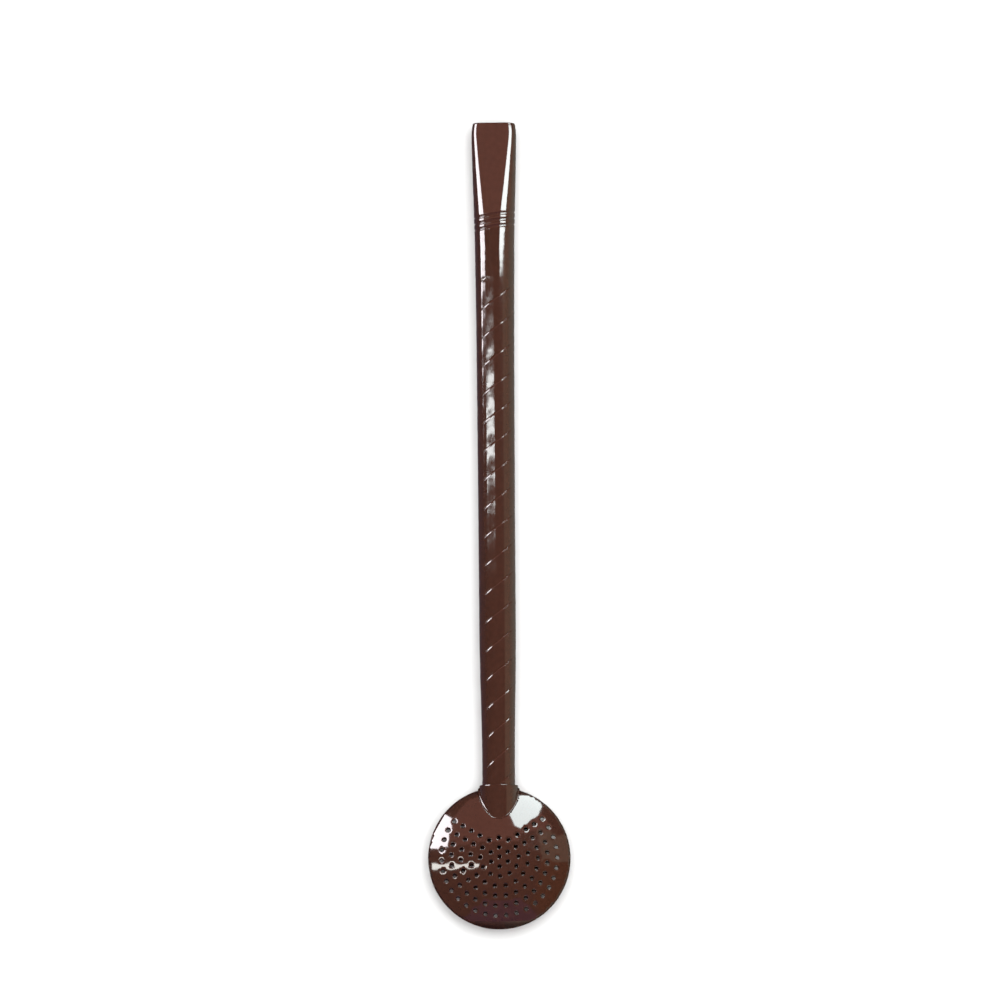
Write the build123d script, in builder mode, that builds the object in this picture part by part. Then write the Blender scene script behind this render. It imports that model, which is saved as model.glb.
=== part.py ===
from build123d import *
from math import acos, degrees
import os

# A mate straw: a flattened mouthpiece, a tapered stem and a hollow, perforated filter.
# It lies on its back, on the filter's rear dome.
# X runs across it, Y towards the mouth and Z out of the filter's front.

# Driving sizes, in millimetres and degrees
sheet = 0.6  # wall of every piece, with its coat
braze_gap = 0.05  # film between the round faces of a brazed joint
overrun = 1.0  # cones and cutters are drawn this much too long, then cut square

# Mouthpiece: squeezed flat towards the tip, where its round sides stand furthest apart
tip_width = 10.1
tip_depth = 3.4
flat_length = 24.0  # from the tip to where the flats have run out
squeeze_step = 0.08  # the squeezed part stands this proud of the round end
lip_draw = 0.35  # each side of the lip is drawn in by this much
lip_draw_length = 1.5
lip_bevel = 0.25
mouthpiece_length = 34.7
spigot_length = 5.0
spigot_wall = 0.45
sleeve_length = 3.0  # the spigot reaches this far back into the mouthpiece

# Rings engraved round the mouthpiece
ring_count = 3
ring_distance = 20.7  # from the tip to the first ring
ring_pitch = 1.35
ring_groove_width = 0.4
ring_groove_depth = 0.2
ring_slant = 8.0  # the rings rise by this angle towards the right

# Stem: straight at its middle, and drawn in where it enters the neck
stem_length = 119.0
stem_top_diameter = 8.7
stem_middle_diameter = 8.15
stem_end_diameter = 7.25
upper_taper_length = 50.0
straight_length = 28.0
lower_taper_length = 26.0

# Filter: two pressed domes, each with half of the neck that holds the stem
filter_diameter = 31.6
dome_rise = 5.9
neck_depth = 5.7  # from the mouth of the neck to the end of the stem
neck_standoff = 0.4  # from the mouth of the neck to the rim
solder_radius = 0.3
solder_sides = 4  # the bead is fine enough to be drawn with flat sides

# Holes of each dome: one at the middle, then rings of them
hole_diameter = 0.9
hole_sides = 6  # the punch is drawn with few sides, which read as round at this size
hole_side_bow = 0.003  # and each of them is bowed out by this much
hole_ring_step = 2.14
closed_rings = 2  # whole rings, each with six holes more than the last
holes_per_closed_ring = 6
open_rings = 4  # rings with a bare field under the neck
first_open_holes = 14
more_open_holes = 4  # from one open ring to the next
flank_angle = 32.1  # the bare field is a V, and its flanks rise this steeply
flank_offset = 1.92  # from the filter's middle to the line of each flank

# Places that follow from them, as distances from the tip of the mouthpiece
rim_radius = filter_diameter / 2
spigot_end = mouthpiece_length + spigot_length
stem_end = mouthpiece_length + stem_length
neck_mouth = stem_end - neck_depth
filter_middle = neck_mouth + neck_standoff + rim_radius
overall_length = filter_middle + rim_radius

# The stem's plane looks down its axis from the tip, and the side plane cuts it in half
tip = Vector(0, overall_length / 2, dome_rise)
middle = tip - Vector(0, filter_middle, 0)
stem_plane = Plane(origin=tip, x_dir=(1, 0, 0), z_dir=(0, -1, 0))
side_plane = Plane(origin=tip, x_dir=(0, -1, 0), z_dir=(-1, 0, 0))
front_plane = Plane(origin=tip, x_dir=(1, 0, 0), z_dir=(0, 0, 1))
filter_plane = Plane(origin=middle, x_dir=(1, 0, 0), z_dir=(0, 0, 1))
dome_plane = Plane(origin=middle, x_dir=(1, 0, 0), z_dir=(0, -1, 0))
stem_axis = Axis(tip, (0, -1, 0))
filter_axis = Axis(middle, (0, 0, 1))

# Each round side of the squeezed part is half a cone, on an axis that leans to the middle
stem_top_radius = stem_top_diameter / 2
squeezed_radius = stem_top_radius + squeeze_step
half_spread = (tip_width - tip_depth) / 2
lean_start = front_plane.from_local_coords(Vector(half_spread, 0))
lean_end = front_plane.from_local_coords(Vector(0, -flat_length))
lean_length = (lean_end - lean_start).length
lean_plane = Plane(origin=lean_start, x_dir=lean_end - lean_start, z_dir=(0, 0, 1))
lean_axis = Axis(lean_start, lean_end - lean_start)

# The stem's bore tapers over the spigot, which clears it at its narrow end
bore_radius = stem_top_radius - sheet
bore_slope = (stem_top_diameter - stem_middle_diameter) / 2 / upper_taper_length
spigot_radius = bore_radius - bore_slope * spigot_length - braze_gap
spigot_bore = spigot_radius - spigot_wall


def squeezed_tube(inset):
    """The squeezed part, set in from its outer surface: two half cones and a wedge."""
    start_radius = tip_depth / 2 - inset
    end_radius = squeezed_radius - inset
    slope = (end_radius - start_radius) / lean_length
    with BuildPart(mode=Mode.PRIVATE) as half_cone:
        with BuildSketch(lean_plane):
            with BuildLine():
                Polyline(
                    (-overrun, 0),
                    (lean_length + overrun, 0),
                    (lean_length + overrun, end_radius + slope * overrun),
                    (-overrun, start_radius - slope * overrun),
                    close=True,
                )
            make_face()
        revolve(axis=lean_axis, revolution_arc=90)
        mirror(about=front_plane)
    with BuildPart(mode=Mode.PRIVATE) as tube:
        with BuildSketch(side_plane):
            with BuildLine():
                Polyline(
                    (0, start_radius),
                    (flat_length, end_radius),
                    (flat_length, -end_radius),
                    (0, -start_radius),
                    close=True,
                )
            make_face()
        extrude(amount=half_spread, both=True)
        with BuildSketch(front_plane):
            with BuildLine():
                Polyline((-half_spread, 0), (half_spread, 0), (0, -flat_length), close=True)
            make_face()
        extrude(amount=squeezed_radius, both=True, mode=Mode.INTERSECT)
        add(half_cone.part)
        mirror(half_cone.part, about=side_plane)
        with BuildSketch(stem_plane):
            Circle(tip_width)
        extrude(amount=flat_length, mode=Mode.INTERSECT)
    return tube.part


# Ring grooves: slanted washers round a core that is the mouthpiece less their depth
with BuildPart() as ring_cutter:
    for ring in range(ring_count):
        ring_plane = stem_plane.offset(ring_distance + ring * ring_pitch)
        with BuildSketch(ring_plane.rotated((0, ring_slant, 0))):
            Circle(tip_width)
        extrude(amount=ring_groove_width / 2, both=True)
    add(squeezed_tube(ring_groove_depth), mode=Mode.SUBTRACT)
    with BuildSketch(stem_plane.offset(flat_length)):
        Circle(stem_top_radius - ring_groove_depth)
    extrude(amount=mouthpiece_length - flat_length, mode=Mode.SUBTRACT)

# Mouthpiece: the squeezed part and the round end with its spigot, then the lip and the rings
with BuildPart() as mouthpiece:
    add(squeezed_tube(0))
    add(squeezed_tube(sheet), mode=Mode.SUBTRACT)
    with BuildSketch(side_plane):
        with BuildLine():
            Polyline(
                (flat_length, bore_radius),
                (flat_length, stem_top_radius),
                (mouthpiece_length, stem_top_radius),
                (mouthpiece_length, spigot_radius),
                (spigot_end, spigot_radius),
                (spigot_end, spigot_bore),
                (mouthpiece_length - sleeve_length, spigot_bore),
                (mouthpiece_length - sleeve_length, bore_radius),
                close=True,
            )
        make_face()
    revolve(axis=stem_axis)
    lip_half_width = tip_width / 2 - lip_draw
    widening = lip_draw / lip_draw_length * spigot_end
    with BuildSketch(front_plane):
        with BuildLine():
            Polyline(
                (-lip_half_width, 0),
                (lip_half_width, 0),
                (lip_half_width + widening, -spigot_end),
                (-lip_half_width - widening, -spigot_end),
                close=True,
            )
        make_face()
    extrude(amount=tip_width, both=True, mode=Mode.INTERSECT)
    lip_half_depth = tip_depth / 2 - lip_bevel
    with BuildSketch(side_plane):
        with BuildLine():
            Polyline(
                (0, lip_half_depth),
                (spigot_end, lip_half_depth + spigot_end),
                (spigot_end, -lip_half_depth - spigot_end),
                (0, -lip_half_depth),
                close=True,
            )
        make_face()
    extrude(amount=tip_width, both=True, mode=Mode.INTERSECT)
    add(ring_cutter.part, mode=Mode.SUBTRACT)
mouthpiece.part.label = "mouthpiece"

# Stem: one closed half section, turned about the axis
straight_start = mouthpiece_length + upper_taper_length
straight_end = straight_start + straight_length
stem_stations = [
    (mouthpiece_length, stem_top_radius),
    (straight_start, stem_middle_diameter / 2),
    (straight_end, stem_middle_diameter / 2),
    (straight_end + lower_taper_length, stem_end_diameter / 2),
    (stem_end, stem_end_diameter / 2),
]
with BuildPart() as stem:
    with BuildSketch(side_plane):
        with BuildLine():
            outside = Polyline(*stem_stations)
            inside = Polyline(*[(place, radius - sheet) for place, radius in stem_stations])
            Line(outside @ 0, inside @ 0)
            Line(outside @ 1, inside @ 1)
        make_face()
    revolve(axis=stem_axis)
stem.part.label = "stem"

# Filter: the two domes are one pressing, used twice, and solder closes their seam
neck_bore = stem_end_diameter / 2 + braze_gap
neck_radius = neck_bore + sheet
neck_reach = filter_middle - neck_mouth
dome_radius = (rim_radius**2 + dome_rise**2) / (2 * dome_rise)
sphere_plane = filter_plane.offset(dome_rise - dome_radius)

with BuildPart() as rim_solder:
    with BuildSketch(dome_plane):
        with Locations((rim_radius - solder_radius, 0)):
            RegularPolygon(solder_radius, solder_sides)
    revolve(axis=filter_axis)
    with BuildSketch(stem_plane.offset(neck_mouth)):
        Circle(neck_radius)
    extrude(amount=neck_reach, mode=Mode.SUBTRACT)
rim_solder.part.label = "rim_solder"


def hole_outline():
    """A hole's outline, of short sides that are barely bowed."""
    turn = 360 / hole_sides
    corners = [Vector(hole_diameter / 2, 0).rotate(Axis.Z, side * turn) for side in range(hole_sides)]
    with BuildLine() as outline:
        for side, corner in enumerate(corners):
            SagittaArc(corners[side - 1], corner, -hole_side_bow)
    return make_face(outline.edges(), mode=Mode.PRIVATE)


hole = hole_outline()
with BuildPart() as filter_front:
    with Locations(sphere_plane):
        Sphere(dome_radius, rotation=(90, 0, 0))
    split(bisect_by=filter_plane)
    with BuildSketch(stem_plane.offset(neck_mouth)):
        Circle(neck_radius)
        Rectangle(2 * neck_radius, neck_radius, align=(Align.CENTER, Align.MAX), mode=Mode.SUBTRACT)
    extrude(amount=neck_reach)
    with Locations(sphere_plane):
        Sphere(dome_radius - sheet, rotation=(90, 0, 0), mode=Mode.SUBTRACT)
    with BuildSketch(stem_plane.offset(neck_mouth)):
        Circle(neck_bore)
    extrude(amount=neck_reach, mode=Mode.SUBTRACT)
    add(rim_solder.part, mode=Mode.SUBTRACT)
    with BuildSketch(filter_plane):
        add(hole)
        for ring in range(1, closed_rings + 1):
            first = 180 / holes_per_closed_ring * (ring % 2)
            with PolarLocations(ring * hole_ring_step, ring * holes_per_closed_ring, first):
                add(hole)
        for ring in range(open_rings):
            radius = (closed_rings + 1 + ring) * hole_ring_step
            half_gap = degrees(acos(flank_offset / radius)) - flank_angle
            holes = first_open_holes + ring * more_open_holes
            span = 360 - 2 * half_gap
            with PolarLocations(radius, holes, 90 + half_gap, span, endpoint=True):
                add(hole)
    extrude(amount=dome_rise, mode=Mode.SUBTRACT)
filter_front.part.label = "filter_front"

with BuildPart() as filter_back:
    mirror(filter_front.part, about=filter_plane)
filter_back.part.label = "filter_back"

os.makedirs("parts", exist_ok=True)
for piece in (mouthpiece, stem, filter_front, filter_back, rim_solder):
    export_step(piece.part, f"parts/{piece.part.label}.step")
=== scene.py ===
from math import acos, cos, degrees, pi, radians, sin, sqrt, tan

import bpy
import numpy as np
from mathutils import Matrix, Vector
from mathutils.geometry import delaunay_2d_cdt


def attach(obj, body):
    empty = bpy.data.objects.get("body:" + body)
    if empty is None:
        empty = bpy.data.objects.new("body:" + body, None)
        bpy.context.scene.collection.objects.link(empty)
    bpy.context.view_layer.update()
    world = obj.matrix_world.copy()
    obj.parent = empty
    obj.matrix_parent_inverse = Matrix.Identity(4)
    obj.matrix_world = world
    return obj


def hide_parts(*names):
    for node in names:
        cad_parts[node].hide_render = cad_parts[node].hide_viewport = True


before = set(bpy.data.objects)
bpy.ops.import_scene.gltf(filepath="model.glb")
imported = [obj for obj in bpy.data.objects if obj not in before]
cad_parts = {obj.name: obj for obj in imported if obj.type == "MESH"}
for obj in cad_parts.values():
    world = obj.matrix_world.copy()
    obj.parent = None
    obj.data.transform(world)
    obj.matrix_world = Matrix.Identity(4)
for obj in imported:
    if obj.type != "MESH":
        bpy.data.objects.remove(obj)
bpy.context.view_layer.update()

# Sizes of the pieces are in millimetres, and in metres once a mesh is made.
# The studio is in metres.
# s is the distance from the tip of the mouthpiece, down the stem.
MM = 0.001
TIP_Y = 90.0  # the tip of the mouthpiece
AXIS_Z = 5.9  # the stem's axis and the seam between the domes
JOINT = 34.7  # s where the mouthpiece ends and the stem starts
NECK_MOUTH = 148.0  # s where the stem enters the neck
STEM_HIDDEN = 5.0  # how far its skin goes on into the neck
SHEET = 0.6  # wall of every piece
DISC_Y = -74.2  # the middle of the filter
RIM = 15.8  # radius of the filter
RISE = 5.9  # height of each dome
SPHERE = (RIM * RIM + RISE * RISE) / (2 * RISE)  # radius of each dome's sphere
SUNK = SPHERE - RISE  # depth of the sphere's middle under the seam
NECK = 4.27  # outer radius of the neck
FILLET = 0.45  # between the neck and the dome


def smooth_curve(places, values):
    """A smooth line through the values that never overshoots them."""
    x, y = np.array(places, float), np.array(values, float)
    h, d = np.diff(x), np.diff(y) / np.diff(x)
    m = np.zeros_like(y)
    m[0], m[-1] = d[0], d[-1]
    for i in range(1, len(x) - 1):
        if d[i - 1] * d[i] > 0:
            w1, w2 = 2 * h[i] + h[i - 1], h[i] + 2 * h[i - 1]
            m[i] = (w1 + w2) / (w1 / d[i - 1] + w2 / d[i])

    def at(q):
        q = np.clip(q, x[0], x[-1])
        i = np.clip(np.searchsorted(x, q) - 1, 0, len(h) - 1)
        t = (q - x[i]) / h[i]
        return ((1 + 2 * t) * (1 - t) ** 2 * y[i] + t * (1 - t) ** 2 * h[i] * m[i]
                + t * t * (3 - 2 * t) * y[i + 1] + t * t * (t - 1) * h[i] * m[i + 1])
    return at


def step(a, b, x):
    """A smooth step from 0 at a to 1 at b."""
    t = np.clip((x - a) / (b - a), 0, 1)
    return t * t * (3 - 2 * t)


def mesh_object(name, points, faces):
    """A smooth-shaded mesh from points in millimetres, with doubled points welded."""
    key = np.round(np.asarray(points, float), 4)
    unique, index = np.unique(key, axis=0, return_inverse=True)
    index = index.reshape(-1)
    kept = []
    for face in faces:
        ring = []
        for v in face:
            w = int(index[v])
            if not ring or (ring[-1] != w and ring[0] != w):
                ring.append(w)
        if len(ring) > 2 and len(set(ring)) == len(ring):
            kept.append(ring)
    mesh = bpy.data.meshes.new(name)
    mesh.from_pydata((unique * MM).tolist(), [], kept)
    mesh.validate()
    mesh.shade_smooth()
    made = bpy.data.objects.new(name, mesh)
    bpy.context.scene.collection.objects.link(made)
    return made


def grid_faces(rows, columns, closed=False, flip=False, offset=0):
    """Quads over a grid of points, row by row."""
    faces = []
    across = columns if closed else columns - 1
    for i in range(rows - 1):
        for j in range(across):
            a = offset + i * columns + j
            b = offset + i * columns + (j + 1) % columns
            c, d = b + columns, a + columns
            faces.append((a, d, c, b) if flip else (a, b, c, d))
    return faces


# Stem: the tube's radius along it, and its three-start spiral groove
stem_radius = smooth_curve(
    (0, 30, 45, 62, 85, 107, 116, 120, 125, 129, 134, 138, 143, 160),
    (4.35, 4.35, 4.25, 4.17, 4.10, 4.07, 4.05, 4.0, 3.93, 3.83, 3.73, 3.67, 3.63, 3.62))
LEAD = 19.13  # length of one whole turn of a groove
PITCH = LEAD / 3  # from one groove to the next
GROOVE_AT = 46.07  # s of a groove at the top of the stem
GROOVE_HALF = 0.26  # half of the groove's width along the stem
GROOVE_FLOOR = 0.02  # half of its flat floor's width
GROOVE_SLOPE = 0.23  # depth by width of its sides
LAND_CROWN = 0.011  # how much higher the lands are at their middle
STEM_COLUMNS = 144
# rows on each side of a groove's middle
groove_rows = (0, 0.02, 0.05, 0.14, 0.235, 0.255, 0.275, 0.3,
               0.37, 0.46, 0.6, 0.85, 1.2, 1.7, 2.3, 2.75)


def groove_depth(w):
    """Depth of the groove's shallow V, w along the stem from its middle."""
    return GROOVE_SLOPE * max(GROOVE_HALF - max(abs(w), GROOVE_FLOOR), 0)


def land_bulge(w):
    """The rolled lands are very slightly crowned between grooves."""
    return LAND_CROWN * (1 - cos(2 * pi * w / PITCH)) / 2


def make_stem():
    """The rows follow the groove: it rises to the right, like a slash."""
    period = sorted([-v for v in groove_rows[1:]] + list(groove_rows))
    end = NECK_MOUTH + STEM_HIDDEN
    first = int(np.floor((JOINT - GROOVE_AT) / PITCH)) - 1
    last = int(np.ceil((end + 1 + LEAD - GROOVE_AT) / PITCH)) + 1
    phase = [(GROOVE_AT + k * PITCH + v, v) for k in range(first, last) for v in period]
    points = []
    for p, w in phase:
        for j in range(STEM_COLUMNS + 1):
            turn = 2 * pi * j / STEM_COLUMNS
            s = min(max(p - LEAD * j / STEM_COLUMNS, JOINT), end)
            r = stem_radius(s)
            if JOINT < s < end:
                # the groove fades in below the joint and out at the neck
                fade = step(JOINT - 0.1, JOINT + 1.2, s)
                fade *= 1 - step(NECK_MOUTH - 1.5, NECK_MOUTH + 0.5, s)
                r += fade * (land_bulge(w) - LAND_CROWN - groove_depth(w))
            points.append((r * sin(turn), TIP_Y - s, AXIS_Z + r * cos(turn)))
    return mesh_object("stem_skin", points, grid_faces(len(phase), STEM_COLUMNS + 1))


# Mouthpiece: width and depth along it
mouth_width = smooth_curve(
    (0.0, 0.6, 1.5, 2.3, 3.3, 6.2, 10.6, 15.1, 19.6, 24, 28.5, 34.7),
    (9.28, 9.5, 9.78, 9.9, 9.93, 9.84, 9.66, 9.42, 9.16, 8.93, 8.76, 8.7))
mouth_depth = smooth_curve(
    (0.0, 3.3, 10, 15, 20.7, 25, 30, 34.7),
    (3.5, 4.1, 5.62, 6.75, 8.0, 8.42, 8.64, 8.7))
RINGS = (20.7, 22.05, 23.4)  # s of the ring grooves at the top of the mouthpiece
RING_SLANT = tan(radians(8.3))
RING_DEPTH = 0.16
RING_HALF = 0.17  # half of a ring groove's width
BURR = 0.02  # height of the raised edges beside each groove
BURR_AT = 0.36  # from the groove's middle to them
BURR_HALF = 0.12
LIP = 0.3  # radius of the rounded edge of the slot
FLAT_EDGE = 0.16  # how softly the flats turn into the round sides
MOUTH_COLUMNS = 192


def mouth_section(s, inset):
    """Points round the mouthpiece at s, with their normals: round sides and two flats."""
    half_w, half_d = mouth_width(s) / 2 - inset, mouth_depth(s) / 2 - inset
    flat = max(half_w - half_d, 0.0)
    points, normals = [], []
    for j in range(MOUTH_COLUMNS):
        turn = 2 * pi * j / MOUTH_COLUMNS
        nx, nz = sin(turn), cos(turn)
        side = np.sign(nx) * flat * min(1.0, (abs(nx) / FLAT_EDGE))
        points.append((side + half_d * nx, half_d * nz))
        normals.append((nx, nz))
    return points, normals


def ring_cut(s):
    """Depth of the ring grooves at s, with the slight burr that each has on both sides."""
    cut = 0
    for ring in RINGS:
        groove = RING_DEPTH * np.exp(-((s - ring) / RING_HALF) ** 2)
        burr = BURR * np.exp(-((abs(s - ring) - BURR_AT) / BURR_HALF) ** 2)
        cut += groove - burr
    return cut


def make_mouthpiece():
    """The skin from inside the slot, round its lip and down to the joint."""
    points = []
    lip_rows = 7
    for k in range(lip_rows):
        a = pi * k / (lip_rows - 1)
        s = LIP * (1 - sin(a))
        section, _ = mouth_section(max(s, 0.0), LIP * (1 + cos(a)))
        points.extend((x, TIP_Y - s, AXIS_Z + z) for x, z in section)
    # the rows are closer where the rings are
    places = sorted(set([*np.arange(0.5, 19.4, 0.4), *np.arange(19.4, 24.8, 0.045),
                         *np.arange(24.8, JOINT, 0.5), JOINT]))
    for s in places:
        section, normals = mouth_section(s, 0.0)
        for (x, z), (nx, nz) in zip(section, normals):
            cut = ring_cut(s + x * RING_SLANT)
            points.append((x - nx * cut, TIP_Y - s, AXIS_Z + z - nz * cut))
    faces = grid_faces(lip_rows + len(places), MOUTH_COLUMNS, closed=True)
    # the passage behind the slot
    passage_start = len(points)
    passage = (LIP, 1, 3, 6, 10, 15)
    for s in passage:
        section, _ = mouth_section(s, SHEET)
        points.extend((x, TIP_Y - s, AXIS_Z + z) for x, z in section)
    faces += grid_faces(len(passage), MOUTH_COLUMNS, closed=True, flip=True, offset=passage_start)
    return mesh_object("mouthpiece_skin", points, faces)


# Filter: a dome over the seam, with its holes and its half of the neck
HOLE = 0.45  # radius of a hole
HOLE_STEP = 2.14  # from one ring of holes to the next
OPEN_RINGS = ((3, 14), (4, 18), (5, 22), (6, 26))  # rings with a bare field, and their holes
FLANK_OFFSET = 1.92  # from the middle to the flanks of the bare field
FLANK_ANGLE = 32.1  # how steeply they rise
FIELD_TURN = radians(1.2)  # turn of the whole field of holes
DIP = 0.01  # how far the sheet is drawn in round a hole
DIP_WIDTH = 0.45
HOLE_LIP = 0.18  # radius of a hole's rounded lip
HOLE_ROWS = (0, 0.012, 0.05, 0.1, 0.17)  # rings of points round each hole, out from its edge
HOLE_POINTS = 20
RIM_POINTS = 240
GRID = 0.42  # pitch of the points between them
HOLE_CLEAR = 0.32  # the grid keeps this far from the holes
RIM_CLEAR = 0.25  # and this far from the rim
CREASE_START = (0.7, 7.3)
CREASE_RUN = (1.7, -1.4)
CREASE_HEIGHT = 0.03
CREASE_HALF = 0.2
NECK_LIP = 0.12  # radius of the neck's rounded mouth
MOUTH_FACE = 0.42  # width of the flat face inside that lip
MOUTH_DEPTH = 3  # how far the skin goes back inside the neck
BEAD = 0.3  # radius of the rim bead, seen from above
BEAD_RISE = 0.12  # its height over and under the seam
BEAD_WRAP = 1.3  # its arc, in half turns
BEAD_GAP = 15.0  # half of its opening at the neck, in degrees
seam_angles = np.linspace(-pi / 2, pi / 2, 121)  # round half of the neck


def hole_places():
    """The middle of each hole, from the middle of the filter."""
    places = [(0.0, 0.0)]
    for k in (1, 2):
        for i in range(6 * k):
            a = radians(30 * (k % 2) + 60 * i / k)
            places.append((k * HOLE_STEP * cos(a), k * HOLE_STEP * sin(a)))
    for k, count in OPEN_RINGS:
        radius = k * HOLE_STEP
        gap = degrees(acos(FLANK_OFFSET / radius)) - FLANK_ANGLE
        for i in range(count):
            a = radians(90 + gap + (360 - 2 * gap) * i / (count - 1))
            places.append((radius * cos(a), radius * sin(a)))
    c, s = cos(FIELD_TURN), sin(FIELD_TURN)
    return np.array([(x * c - y * s, x * s + y * c) for x, y in places])


holes = hole_places()


def fillet_arcs():
    """Arcs of the fillet round half of the neck, each from the dome to the neck."""
    arcs = []
    for a in seam_angles:
        x, z = (NECK + FILLET) * sin(a), (NECK + FILLET) * cos(a)
        y = sqrt((SPHERE + FILLET) ** 2 - x * x - (z + SUNK) ** 2)
        to_neck = np.array((-sin(a), 0, -cos(a)))
        to_dome = -np.array((x, y, z + SUNK)) / (SPHERE + FILLET)
        ball = np.array((x, y, z))
        row = []
        for t in np.arange(7) / 6:
            d = to_dome * (1 - t) + to_neck * t
            row.append(ball + FILLET * d / np.linalg.norm(d))
        arcs.append(row)
    return np.array(arcs)


seam_arcs = fillet_arcs()
seam_dome, seam_neck = seam_arcs[:, 0], seam_arcs[:, -1]


def sphere_height(x, y, radius):
    """Height over the seam of a sphere of this radius about the dome's middle."""
    return np.sqrt(np.maximum(radius ** 2 - x * x - y * y, 0)) - SUNK


def hole_distance(x, y):
    """From each point to each hole's middle."""
    return np.sqrt((x[:, None] - holes[:, 0]) ** 2 + (y[:, None] - holes[:, 1]) ** 2)


def hole_dip(x, y):
    """Each punched hole draws the sheet in round it and rounds its own lip."""
    d = hole_distance(x, y)
    dip = (DIP * np.exp(-((d - HOLE) / DIP_WIDTH) ** 2)).sum(1)
    t = np.clip((d.min(1) - HOLE) / HOLE_LIP, 0, 1)
    return dip + HOLE_LIP * (1 - np.sqrt(1 - (1 - t) ** 2))


def crease(x, y):
    """A short raised crease in the front dome, just below the neck's nose."""
    (start_x, start_y), (run_x, run_y) = CREASE_START, CREASE_RUN
    along = ((x - start_x) * run_x + (y - start_y) * run_y) / (run_x ** 2 + run_y ** 2)
    along = np.clip(along, 0, 1)
    d = np.hypot(x - start_x - run_x * along, y - start_y - run_y * along)
    return CREASE_HEIGHT * np.exp(-((d / CREASE_HALF) ** 2))


def near_hole(x, y, reach):
    """Whether a point lies within reach of a hole's middle."""
    return (((x - holes[:, 0]) ** 2 + (y - holes[:, 1]) ** 2) < reach ** 2).any()


def dome_plan():
    """The dome's points and triangles seen from above, with its holes and without the neck."""
    points, edges = [], []

    def ring(cx, cy, radius, count, phase=0.0):
        base = len(points)
        for i in range(count):
            a = 2 * pi * i / count + phase
            points.append((cx + radius * cos(a), cy + radius * sin(a)))
            edges.append((base + i, base + (i + 1) % count))

    for cx, cy in holes:
        for out in HOLE_ROWS:
            ring(cx, cy, HOLE + out, HOLE_POINTS, phase=0.1)
    ring(0, 0, RIM, RIM_POINTS)
    # the fillet's foot, as far as the rim
    base = len(points)
    for i, p in enumerate(p[:2] for p in seam_dome if p[2] > -0.02):
        points.append(tuple(p))
        if i:
            edges.append((base + i - 1, base + i))
    # a grid of triangles over the rest
    n = int(RIM / GRID) + 1
    for i in range(-n, n + 1):
        for j in range(-n, n + 1):
            x, y = (i + 0.5 * (j % 2)) * GRID, j * GRID * 0.866
            if x * x + y * y <= (RIM - RIM_CLEAR) ** 2 and not near_hole(x, y, HOLE + HOLE_CLEAR):
                points.append((x, y))
    verts, _, faces, *_ = delaunay_2d_cdt([Vector(p) for p in points], edges, [], 0, 1e-5)
    plan = np.array([(v.x, v.y) for v in verts])
    # the faces outside the rim, in a hole or under the neck are left out
    seam_x = seam_dome[:, 0]
    kept = []
    for face in faces:
        cx, cy = plan[list(face)].mean(0)
        in_neck = abs(cx) < seam_x.max() and cy > np.interp(cx, seam_x, seam_dome[:, 1])
        if cx * cx + cy * cy <= RIM * RIM and not near_hole(cx, cy, HOLE * 0.985) and not in_neck:
            kept.append(tuple(face))
    return plan[:, 0], plan[:, 1], kept


def make_dome(name, front):
    """One pressing: the dome, its inner face, the walls of its holes, the fillet and the neck."""
    x, y, kept = dome_plan()
    z = sphere_height(x, y, SPHERE) - hole_dip(x, y) + (crease(x, y) if front else 0)
    inner_z = np.maximum(sphere_height(x, y, SPHERE - SHEET), 0.0)
    outer = np.column_stack([x, y, z])
    inner = np.column_stack([x, y, np.minimum(inner_z, z)])
    count = len(x)
    points = [tuple(p) for p in outer] + [tuple(p) for p in inner]
    faces = kept + [tuple(count + v for v in reversed(f)) for f in kept]
    on_hole = np.abs(hole_distance(x, y).min(1) - HOLE) < 1e-3
    sides = dict.fromkeys((a, b) for f in kept for a, b in zip(f, f[1:] + f[:1]))
    for a, b in sides:
        if (b, a) not in sides and on_hole[a] and on_hole[b]:
            faces.append((b, a, a + count, b + count))
    # the fillet, then the neck out to its mouth, round its lip and back inside
    base = len(points)
    points += [tuple(p) for p in seam_arcs.reshape(-1, 3)]
    faces += grid_faces(seam_arcs.shape[0], seam_arcs.shape[1], offset=base)
    base = len(points)
    mouth_y = TIP_Y - NECK_MOUTH - DISC_Y
    lip_y = mouth_y - NECK_LIP
    inside = NECK - NECK_LIP - MOUTH_FACE
    for a, start in zip(seam_angles, seam_neck):
        profile = [(NECK, start[1] + (lip_y - start[1]) * t) for t in np.linspace(0, 1, 12)]
        for b in np.linspace(0, pi / 2, 5)[1:]:
            profile.append((NECK - NECK_LIP * (1 - cos(b)), lip_y + NECK_LIP * sin(b)))
        profile += [(inside, mouth_y), (inside, mouth_y - MOUTH_DEPTH)]
        points.extend((r * sin(a), along, r * cos(a)) for r, along in profile)
    faces += grid_faces(len(seam_angles), len(profile), offset=base)
    flip = 1 if front else -1
    placed = [(px, py + DISC_Y, AXIS_Z + flip * pz) for px, py, pz in points]
    return mesh_object(name, placed, faces)


def make_rim():
    """The bead round the seam, open where the neck is."""
    columns, rows = 360, 10
    points = []
    for j in range(columns):
        a = 2 * pi * j / columns
        for k in range(rows):
            b = -pi / 2 * BEAD_WRAP + pi * BEAD_WRAP * k / (rows - 1)
            r = RIM - BEAD + BEAD * cos(b)
            points.append((r * cos(a), DISC_Y + r * sin(a), AXIS_Z + BEAD_RISE * sin(b)))
    faces = []
    for j in range(columns):
        if abs(((j + 0.5) * 360 / columns) - 90) < BEAD_GAP:
            continue
        for k in range(rows - 1):
            p, q = j * rows + k, (j + 1) % columns * rows + k
            faces.append((p, q, q + 1, p + 1))
    return mesh_object("rim_skin", points, faces)


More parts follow.
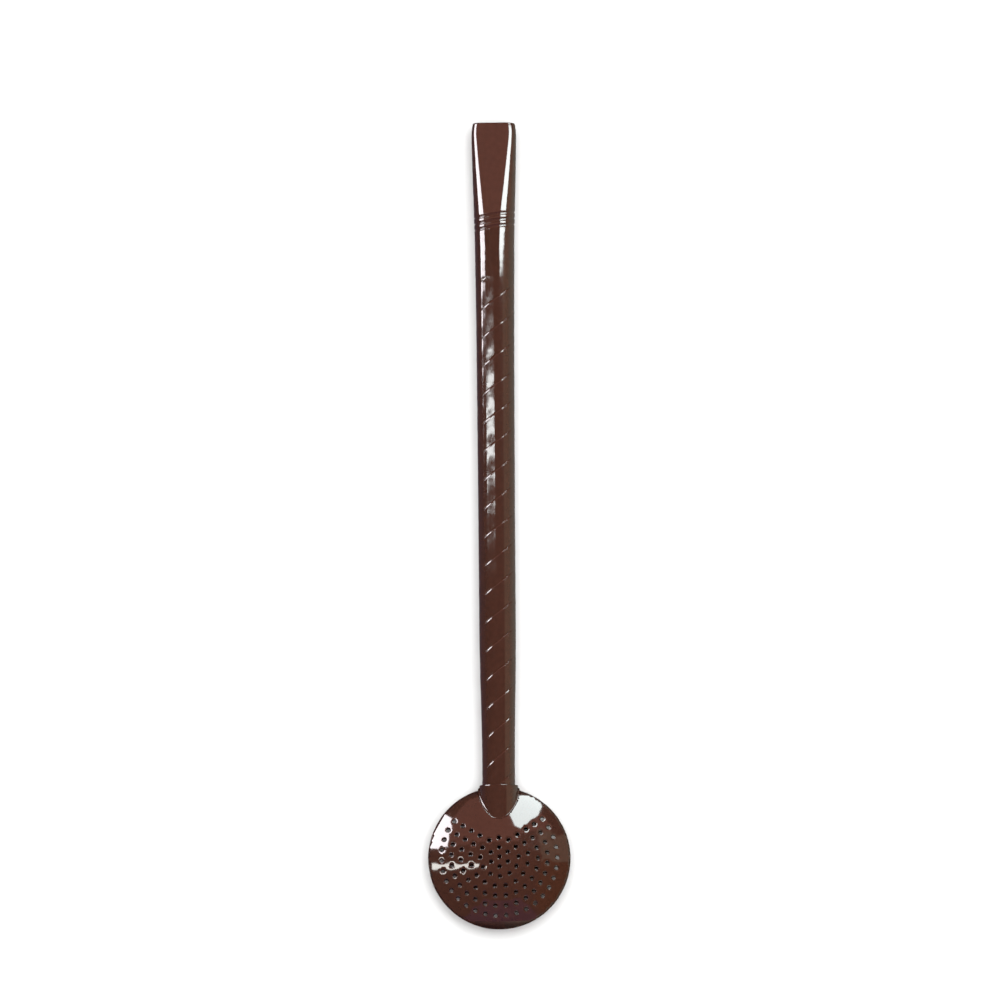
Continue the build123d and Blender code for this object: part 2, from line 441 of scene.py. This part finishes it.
# Materials
def new_material(name):
    """An empty node material, with its nodes and links."""
    made = bpy.data.materials.new(name)
    made.use_nodes = True
    made.node_tree.nodes.clear()
    return made, made.node_tree.nodes, made.node_tree.links


def coat_material():
    """Glossy brown enamel: a fine mottling under it and a faint ripple on it."""
    made, nodes, links = new_material("coat")
    out = nodes.new("ShaderNodeOutputMaterial")
    shader = nodes.new("ShaderNodeBsdfPrincipled")
    shader.inputs["Roughness"].default_value = 0.07
    shader.inputs["IOR"].default_value = 1.5
    shader.inputs["Coat Weight"].default_value = 0.0
    place = nodes.new("ShaderNodeTexCoord")
    mottle = nodes.new("ShaderNodeTexNoise")
    mottle.inputs["Scale"].default_value = 900.0
    mottle.inputs["Detail"].default_value = 3.0
    links.new(place.outputs["Object"], mottle.inputs["Vector"])
    ramp = nodes.new("ShaderNodeValToRGB")
    ramp.color_ramp.elements[0].position = 0.3
    ramp.color_ramp.elements[0].color = (0.0285, 0.0092, 0.0054, 1)
    ramp.color_ramp.elements[1].position = 0.7
    ramp.color_ramp.elements[1].color = (0.0350, 0.0114, 0.0068, 1)
    links.new(mottle.outputs["Fac"], ramp.inputs["Fac"])
    links.new(ramp.outputs["Color"], shader.inputs["Base Color"])
    ripple = nodes.new("ShaderNodeTexNoise")
    ripple.inputs["Scale"].default_value = 420.0
    ripple.inputs["Detail"].default_value = 1.0
    links.new(place.outputs["Object"], ripple.inputs["Vector"])
    bump = nodes.new("ShaderNodeBump")
    bump.inputs["Strength"].default_value = 0.12
    bump.inputs["Distance"].default_value = 0.0001
    links.new(ripple.outputs["Fac"], bump.inputs["Height"])
    links.new(bump.outputs["Normal"], shader.inputs["Normal"])
    links.new(shader.outputs["BSDF"], out.inputs["Surface"])
    return made


coat = coat_material()
pieces = {
    "mouthpiece": make_mouthpiece(),
    "stem": make_stem(),
    "filter_front": make_dome("filter_front_skin", True),
    "filter_back": make_dome("filter_back_skin", False),
    "rim_solder": make_rim(),
}
for node, made in pieces.items():
    made.data.materials.append(coat)
    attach(made, "root")
    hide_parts(node)
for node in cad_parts.values():
    node.data.materials.clear()
    node.data.materials.append(coat)


# Studio
def emitter(name, colour, strength):
    """A material that only glows."""
    made, nodes, links = new_material(name)
    out = nodes.new("ShaderNodeOutputMaterial")
    glow = nodes.new("ShaderNodeEmission")
    glow.inputs["Color"].default_value = (*colour, 1)
    glow.inputs["Strength"].default_value = strength
    links.new(glow.outputs["Emission"], out.inputs["Surface"])
    return made


def panel(name, corners, colour, strength):
    """A glowing card seen only in reflections. Corners are in metres."""
    mesh = bpy.data.meshes.new(name)
    mesh.from_pydata([tuple(c) for c in corners], [], [tuple(range(len(corners)))])
    made = bpy.data.objects.new(name, mesh)
    bpy.context.scene.collection.objects.link(made)
    mesh.materials.append(emitter(name, colour, strength))
    made.visible_camera = False
    made.visible_diffuse = False
    made.visible_shadow = False
    made.visible_transmission = False
    return made


def toward(origin, polar, azimuth, distance):
    """A point seen from origin at these angles, in degrees from straight up and from +X."""
    p, a = radians(polar), radians(azimuth)
    return Vector(origin) + distance * Vector((sin(p) * cos(a), sin(p) * sin(a), cos(p)))


disc_centre = (0.0, DISC_Y * MM, 0.01)

# floor: white to the camera; to reflected rays it glows instead, a painted reflection of the
# floor, dim violet on the left and pale on the right
floor_mesh = bpy.data.meshes.new("floor")
floor_mesh.from_pydata([(-3, -3, 0), (3, -3, 0), (3, 3, 0), (-3, 3, 0)], [], [(0, 1, 2, 3)])
floor = bpy.data.objects.new("floor", floor_mesh)
bpy.context.scene.collection.objects.link(floor)
floor_material, nodes, links = new_material("floor")
out = nodes.new("ShaderNodeOutputMaterial")
paper = nodes.new("ShaderNodeBsdfDiffuse")
paper.inputs["Color"].default_value = (0.63, 0.63, 0.63, 1)
# painted reflection: the floor's glow, seen only by reflected rays, coloured by a ramp across X
floor_reflection_glow = nodes.new("ShaderNodeEmission")
place = nodes.new("ShaderNodeTexCoord")
split = nodes.new("ShaderNodeSeparateXYZ")
side = nodes.new("ShaderNodeValToRGB")
side.color_ramp.elements[0].position = 0.0
side.color_ramp.elements[0].color = (0.19, 0.145, 0.18, 1)
side.color_ramp.elements[1].position = 0.02
side.color_ramp.elements[1].color = (0.66, 0.70, 0.57, 1)
links.new(place.outputs["Object"], split.inputs["Vector"])
links.new(split.outputs["X"], side.inputs["Fac"])
links.new(side.outputs["Color"], floor_reflection_glow.inputs["Color"])
path = nodes.new("ShaderNodeLightPath")
mix = nodes.new("ShaderNodeMixShader")
links.new(path.outputs["Is Glossy Ray"], mix.inputs["Fac"])
links.new(paper.outputs["BSDF"], mix.inputs[1])
links.new(floor_reflection_glow.outputs["Emission"], mix.inputs[2])
links.new(mix.outputs["Shader"], out.inputs["Surface"])
floor_mesh.materials.append(floor_material)

# the room: dark all round
room = (0.55, 0.50, 0.47)
ROOM_STRENGTH = 0.25
world = bpy.data.worlds.new("room")
bpy.context.scene.world = world
world.use_nodes = True
world.node_tree.nodes.clear()
sky_out = world.node_tree.nodes.new("ShaderNodeOutputWorld")
sky = world.node_tree.nodes.new("ShaderNodeBackground")
sky.inputs["Color"].default_value = (*room, 1)
sky.inputs["Strength"].default_value = ROOM_STRENGTH
world.node_tree.links.new(sky.outputs["Background"], sky_out.inputs["Surface"])

# soft top light that lights the floor and the coat, and is not mirrored in it
soft = bpy.data.lights.new("soft_top", "AREA")
soft.shape = "DISK"
soft.size = 1.6
soft.energy = 46.0
soft_object = bpy.data.objects.new("soft_top", soft)
soft_object.location = (0.1, 0.1, 1.3)
soft_object.visible_glossy = False
bpy.context.scene.collection.objects.link(soft_object)

# left window: mirrored down the left of the mouthpiece and on the filter's left edge
left = [(0.143, 0.0), (0.143, 0.12), (0.17, 0.25), (0.17, 0.45), (0.18, 0.57), (0.22, 0.72),
        (0.32, 0.68), (0.58, 0.63), (0.82, 0.625), (0.945, 0.54), (0.92, 0.0)]
panel("window_left", [(-1.1, y, z) for y, z in left], (1.0, 0.95, 0.99), 23.0)
# right window: mirrored down the right of the mouthpiece, with a pointed end
panel("window_right",
      [(0.54, 0.143, 0.80), (0.43, 0.19, 0.90), (0.40, 0.42, 0.93), (0.88, 0.43, 0.49),
       (0.85, 0.19, 0.52)],
      (0.94, 1.0, 1.0), 24.0)
# high window on the filter's upper right
upper = [(42, 55), (58, 51.5), (67, 49), (73, 51), (80, 52.5), (87, 60), (87, 82), (70, 80),
         (52, 77), (41, 66)]
panel("window_upper", [toward(disc_centre, polar, azimuth, 1) for polar, azimuth in upper],
      (0.90, 1.0, 1.0), 19.0)
# narrow lamp mirrored along the filter's left
panel("lamp_low",
      [(-0.97, -0.173, 0.22), (-0.97, -0.077, 0.22), (-0.35, -0.145, 0.93), (-0.35, -0.20, 0.93)],
      (1.0, 1.0, 0.95), 17.0)
# lamp over the left shoulder, mirrored between the grooves of the upper stem
panel("lamp_high",
      [(-0.87, 0.099, 0.49), (-0.87, 0.110, 0.49), (-0.16, 0.110, 0.98), (-0.16, 0.099, 0.98)],
      (0.96, 1.0, 1.0), 34.0)
# cards that hide that lamp and the right window from the filter
panel("card_left",
      [(-0.435, -0.05, 0.245), (-0.435, 0.045, 0.245), (-0.08, 0.045, 0.49), (-0.08, -0.05, 0.49)],
      room, ROOM_STRENGTH)
panel("card_right",
      [(0.115, -0.06, 0.283), (0.203, -0.06, 0.203), (0.203, 0.088, 0.203), (0.115, 0.088, 0.283)],
      room, ROOM_STRENGTH)
warm = (0.85, 0.70, 0.52)
panel("card_right_low",
      [(0.203, -0.06, 0.203), (0.275, -0.06, 0.138), (0.275, 0.088, 0.138), (0.203, 0.088, 0.203)],
      warm, 0.95)
# warm glow beyond the mouthpiece, mirrored on its flat and on the filter's upper half
panel("glow_far", [(-2.0, 0.30, 1.0), (2.0, 0.30, 1.0), (2.0, 4.0, 1.0), (-2.0, 4.0, 1.0)],
      (1.0, 0.47, 0.40), 1.0)
# dim walls: warm on the right, violet below the filter
panel("wall_right", [(1.2, -0.08, 0.0), (1.2, 0.45, 0.0), (1.2, 0.45, 1.2), (1.2, -0.08, 1.2)],
      warm, 0.95)
panel("wall_right_low", [(1.2, -1.5, 0.0), (1.2, -0.08, 0.0), (1.2, -0.08, 1.2), (1.2, -1.5, 1.2)],
      (0.62, 0.30, 0.15), 0.5)
panel("wall_low", [(-1.1, -1.5, 0.0), (1.1, -1.5, 0.0), (0.8, -1.5, 1.5), (-0.5, -1.5, 1.5)],
      (0.28, 0.25, 0.60), 0.6)

# camera: far above, leaning to the filter's side, with the photograph's slight roll
PICTURE_WIDTH = 0.22335  # what the picture spans at the stem's axis
camera_lean = radians(5.1)
camera_roll = radians(-0.44)
camera_distance = 3.0
sensor_width = 36
camera_data = bpy.data.cameras.new("camera")
camera_data.sensor_width = sensor_width
camera_data.lens = sensor_width * camera_distance / (PICTURE_WIDTH * cos(camera_lean))
camera_data.clip_start = 0.05
camera_data.clip_end = 10
camera = bpy.data.objects.new("camera", camera_data)
aim = Vector((0.00076, 0.00564, AXIS_Z * MM))
flat = sin(camera_lean)
away = Vector((flat * sin(camera_roll), -flat * cos(camera_roll), cos(camera_lean)))
camera.location = aim + camera_distance * away
camera.rotation_euler = (camera_lean, 0, camera_roll)
bpy.context.scene.collection.objects.link(camera)
bpy.context.scene.camera = camera
bpy.context.scene.view_settings.view_transform = "Standard"
